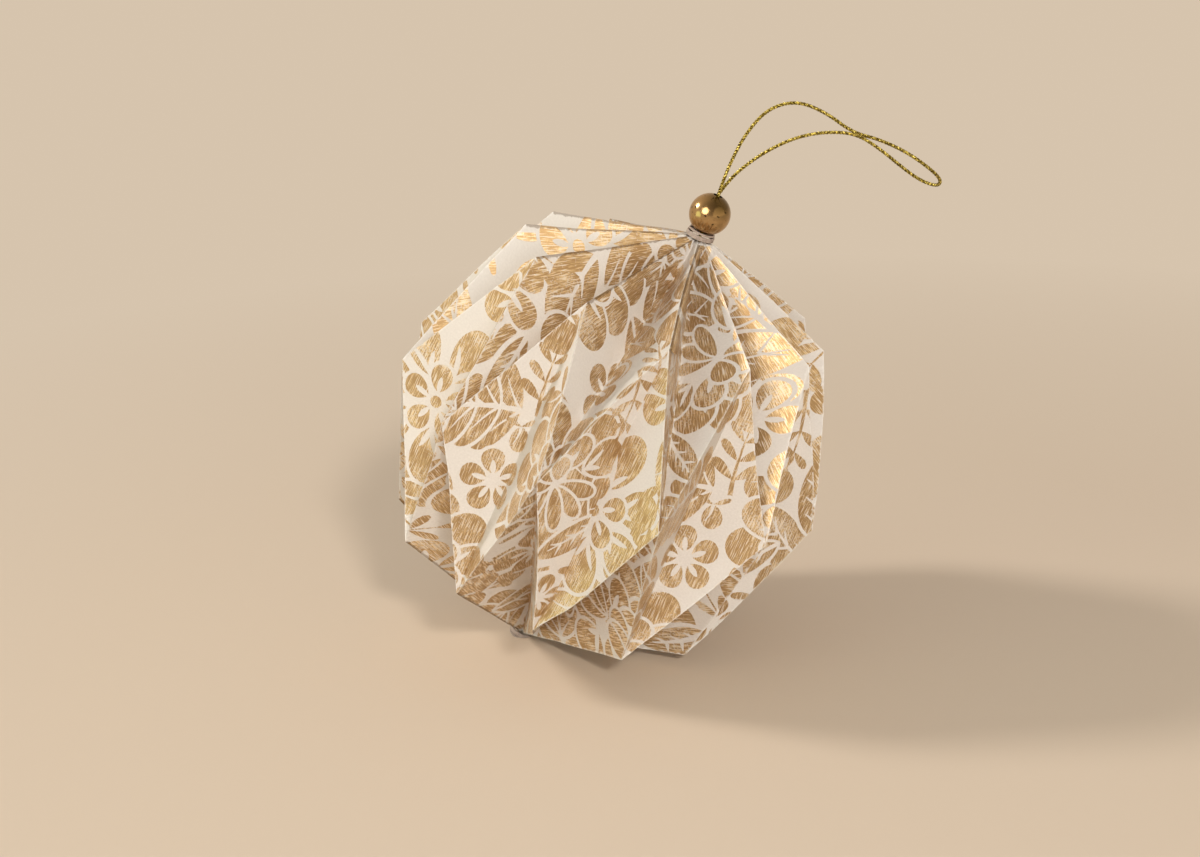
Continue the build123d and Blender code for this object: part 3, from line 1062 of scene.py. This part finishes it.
# Fine grey-brown thread holds the pleats together. It is wound a few times round each gathered end,
# with its last turn laid over the rim of the paper, and knotted.
thread_width = 0.00044
thread_strand_radius = 0.00014
thread_lay_radius = 0.0001
thread_pitch = 0.0016
thread_turns = 4.3
over_rim_share = 0.72
over_rim_rise = 0.00047
over_rim_inset = 0.0002
thread_material, thread_tree = new_material("binding_thread_finish")
thread_place = add_node(thread_tree, "ShaderNodeTexCoord").outputs["Object"]
thread_fibre = add_node(thread_tree, "ShaderNodeTexNoise", Vector=thread_place, Scale=1800.0)
thread_colour = blend_colours(thread_tree, thread_fibre.outputs["Fac"],
                              (0.33, 0.25, 0.205), (0.50, 0.40, 0.335))
finish_material(thread_tree, Base_Color=thread_colour, Roughness=0.85)
for end_name, way in (("upper", 1), ("lower", -1)):
    band_low, band_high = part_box(f"{end_name}_binding")
    band_middle = (band_low.z + band_high.z) / 2
    band_width = band_high.z - band_low.z - thread_width
    band_radius = band_high.x - thread_width / 2
    thread_line = []
    for i in range(300):
        share = i / 299
        turn = 2 * math.pi * thread_turns * share + 1.0
        # the last turn lies on the rim, inside the others, and closes the neck under the bead
        over = min(max((share - over_rim_share) / 0.08, 0.0), 1.0)
        height = (min(share / over_rim_share, 1.0) - 0.5) * band_width + over * over_rim_rise
        radius = band_radius - over * over_rim_inset
        thread_line.append(Vector((radius * math.cos(turn), radius * math.sin(turn),
                                   band_middle + way * height)))
    winding = twisted_strands(f"{end_name}_thread_winding", [thread_line], thread_strand_radius,
                              thread_lay_radius, thread_pitch, 3, 6)
    winding.data.materials.append(thread_material)
    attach(winding, "root")
    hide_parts(f"{end_name}_binding")

# The bead is a ball of gilt brass, 8 mm across, turned and bored through. It slides down the
# doubled cord onto the rim of the gathered paper and hides it.
bead_low, bead_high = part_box("top_bead")
bead_radius = (bead_high.x - bead_low.x) / 2
bead_middle = (bead_high.z + bead_low.z) / 2
bore_radius = 0.0009
bead_sides = 72
mouth_angle = math.asin(bore_radius / bead_radius)
bead_profile = []
for i in range(49):
    angle = mouth_angle + (math.pi - 2 * mouth_angle) * i / 48
    height = bead_middle + bead_radius * math.cos(angle)
    bead_profile.append((bead_radius * math.sin(angle), height))
for i in range(1, 6):
    share = i / 6
    height = bead_middle - bead_radius * math.cos(mouth_angle) * (1 - 2 * share)
    bead_profile.append((bore_radius, height))
bead_vertices, bead_faces = [], []
for i in range(bead_sides):
    turn = 2 * math.pi * i / bead_sides
    for radius, height in bead_profile:
        bead_vertices.append((radius * math.cos(turn), radius * math.sin(turn), height))
ring = len(bead_profile)
for i in range(bead_sides):
    after = (i + 1) % bead_sides
    for k in range(ring):
        n = (k + 1) % ring
        bead_faces.append((i * ring + k, i * ring + n, after * ring + n, after * ring + k))
bead_mesh = bpy.data.meshes.new("gilt_bead")
bead_mesh.from_pydata(bead_vertices, [], bead_faces)
bead_mesh.shade_smooth()
bead_mesh.set_sharp_from_angle(angle=math.radians(40))
gilt_bead = bpy.data.objects.new("gilt_bead", bead_mesh)
scene.collection.objects.link(gilt_bead)


def compare_vectors(tree, operation, changing, fixed):
    """The distance or the dot product between a socket's vector and a fixed one."""
    node = add_node(tree, "ShaderNodeVectorMath", operation=operation)
    tree.links.new(changing, node.inputs[0])
    node.inputs[1].default_value = fixed
    return node.outputs["Value"]


bead_material, bead_tree = new_material("polished_gilt")
bead_place = add_node(bead_tree, "ShaderNodeTexCoord").outputs["Object"]
bead_mottle = add_node(bead_tree, "ShaderNodeTexNoise", Vector=bead_place, Scale=260.0, Detail=3.0)
bead_colour = blend_colours(bead_tree, bead_mottle.outputs["Fac"],
                            (0.38, 0.245, 0.11), (0.64, 0.42, 0.20))
# a dark reflection is painted into the gilding beside the upper mouth
from_dark_reflection = compare_vectors(bead_tree, "DISTANCE", bead_place,
                               (0.0010, -0.0018, bead_middle + 0.0034))
painted_dark_reflection = calculate(bead_tree, "MULTIPLY_ADD", from_dark_reflection, -400.0, 1.6, clamp=True)
painted_dark_reflection = calculate(bead_tree, "MULTIPLY", painted_dark_reflection, 0.88)
bead_colour = blend_colours(bead_tree, painted_dark_reflection, bead_colour, (0.10, 0.065, 0.02))
pits = add_node(bead_tree, "ShaderNodeTexNoise", Vector=bead_place, Scale=1500.0, Detail=0.0)
pit_share = calculate(bead_tree, "MULTIPLY_ADD", pits.outputs["Fac"], 14.0, -10.3, clamp=True)
bead_colour = blend_colours(bead_tree, pit_share, bead_colour, (0.05, 0.03, 0.01))
finish_material(bead_tree, Base_Color=bead_colour, Metallic=1.0, Roughness=0.19)
bead_mesh.materials.append(bead_material)
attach(gilt_bead, "root")
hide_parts("top_bead")

# The table is a plain pale surface. It is tipped against the model, because the ball lies on its
# side on it, and touches the lowest folds.
table_normal = Vector((-0.4164, 0.0658, 0.9068)).normalized()
table_reach = 6.0
table_gap = 0.0002
paper_corners = np.array([tuple(v.co) for v in sheet_mesh.vertices])
lowest = float((paper_corners @ np.array(table_normal)).min()) - table_gap
table_centre = table_normal * lowest
table_side = table_normal.orthogonal().normalized()
table_front = table_normal.cross(table_side)
table_mesh = bpy.data.meshes.new("table")
table_mesh.from_pydata(
    [tuple(table_centre + (table_side * a + table_front * b) * table_reach)
     for a, b in ((-1, -1), (1, -1), (1, 1), (-1, 1))], [], [(0, 1, 2, 3)])
table = bpy.data.objects.new("table", table_mesh)
scene.collection.objects.link(table)


def mix_shaders(tree, share, first, second):
    """A shader on the way from the first to the second."""
    node = add_node(tree, "ShaderNodeMixShader")
    for socket, output in zip(node.inputs, (share, first.outputs[0], second.outputs[0])):
        tree.links.new(output, socket)
    return node


table_material, table_tree = new_material("pale_table")
backdrop = (0.675, 0.553, 0.420)
table_top = add_node(table_tree, "ShaderNodeBsdfDiffuse", Color=(0.692, 0.570, 0.450, 1))
far_glow = add_node(table_tree, "ShaderNodeEmission", Color=(*backdrop, 1), Strength=1.0)
clear = add_node(table_tree, "ShaderNodeBsdfTransparent")
# far from the ball the table passes into the backdrop, and from below it can be seen through
table_spot = add_node(table_tree, "ShaderNodeNewGeometry")
from_ball = compare_vectors(table_tree, "DISTANCE", table_spot.outputs["Position"],
                            tuple(table_centre))
far_share = calculate(table_tree, "MULTIPLY_ADD", from_ball, 4.5, -0.6, clamp=True)
whole_table = mix_shaders(table_tree, far_share, table_top, far_glow)
one_sided = mix_shaders(table_tree, table_spot.outputs["Backfacing"], whole_table, clear)
add_node(table_tree, "ShaderNodeOutputMaterial", Surface=one_sided.outputs[0])
table_mesh.materials.append(table_material)

# Soft studio light: a lamp from the left, a smaller one from the front, reflector cards and an even
# room. The camera's side of the room is dim, as a gilt bead shows it.
world = bpy.data.worlds.new("room")
scene.world = world
world.use_nodes = True
room = world.node_tree
room.nodes.clear()
light_path = add_node(room, "ShaderNodeLightPath")
seen = calculate(room, "MAXIMUM", light_path.outputs["Is Camera Ray"],
                 light_path.outputs["Is Glossy Ray"])
fill = add_node(room, "ShaderNodeBackground", Color=(1.0, 0.94, 0.86, 1), Strength=0.39)
view_way = add_node(room, "ShaderNodeTexCoord").outputs["Generated"]
toward_camera = compare_vectors(room, "DOT_PRODUCT", view_way, tuple(camera_back))
dim_share = calculate(room, "MULTIPLY_ADD", toward_camera, 1.6, -0.35, clamp=True)
dim_share = calculate(room, "MULTIPLY", dim_share, light_path.outputs["Is Glossy Ray"])
shown_colour = blend_colours(room, dim_share, backdrop, (0.36, 0.29, 0.22))
shown = add_node(room, "ShaderNodeBackground", Color=shown_colour, Strength=1.0)
whole_room = mix_shaders(room, seen, fill, shown)
add_node(room, "ShaderNodeOutputWorld", Surface=whole_room.outputs[0])


def place_lamp(name, direction, distance, size, power, colour):
    """An area lamp that stands in a direction from the ball and points at it."""
    lamp_data = bpy.data.lights.new(name, "AREA")
    lamp_data.shape = "DISK"
    lamp_data.size = size
    lamp_data.energy = power
    lamp_data.color = colour
    lamp = bpy.data.objects.new(name, lamp_data)
    scene.collection.objects.link(lamp)
    ball_middle = Vector((0, 0, -0.05))
    way = Vector(direction).normalized()
    lamp.location = ball_middle + way * distance
    lamp.rotation_euler = way.to_track_quat("Z", "Y").to_euler()
    lamp.visible_camera = False
    return lamp


# directions are counted in the camera's right, the table's depth and the table's normal
table_right = (camera_right - camera_right.dot(table_normal) * table_normal).normalized()
table_away = table_normal.cross(table_right)


def over_table(right, away, up):
    """A direction over the table."""
    return table_right * right + table_away * away + table_normal * up


plain_card = (0.90, 0.95, 0.97)
place_lamp("left_lamp", over_table(-0.80, 0.143, 0.605), 1.7, 0.32, 13.0, (1.0, 0.96, 0.90))
# these light the paper and aren't seen in the ink or the bead
for plain_light in (
    place_lamp("front_lamp", over_table(0.21, -0.84, 0.50), 1.7, 0.20, 13.8, (1.0, 0.95, 0.88)),
    place_lamp("low_card", over_table(0.10, -0.99, 0.05), 0.9, 0.5, 3.4, plain_card),
    place_lamp("side_card", over_table(-0.85, -0.50, 0.03), 0.9, 0.5, 1.6, plain_card),
):
    plain_light.visible_glossy = False
place_lamp("green_card", over_table(-0.92, -0.35, 0.10), 0.9, 0.5, 0.7, (0.72, 1.0, 0.55))
# and these only glint in the ink and the bead
for glint in (
    place_lamp("left_glint", over_table(-0.42, -0.77, 0.50), 0.9, 0.55, 4.3, (1.0, 0.93, 0.80)),
    place_lamp("right_glint", over_table(0.78, -0.62, 0.05), 0.9, 1.3, 2.4, (1.0, 0.85, 0.60)),
):
    glint.visible_diffuse = False
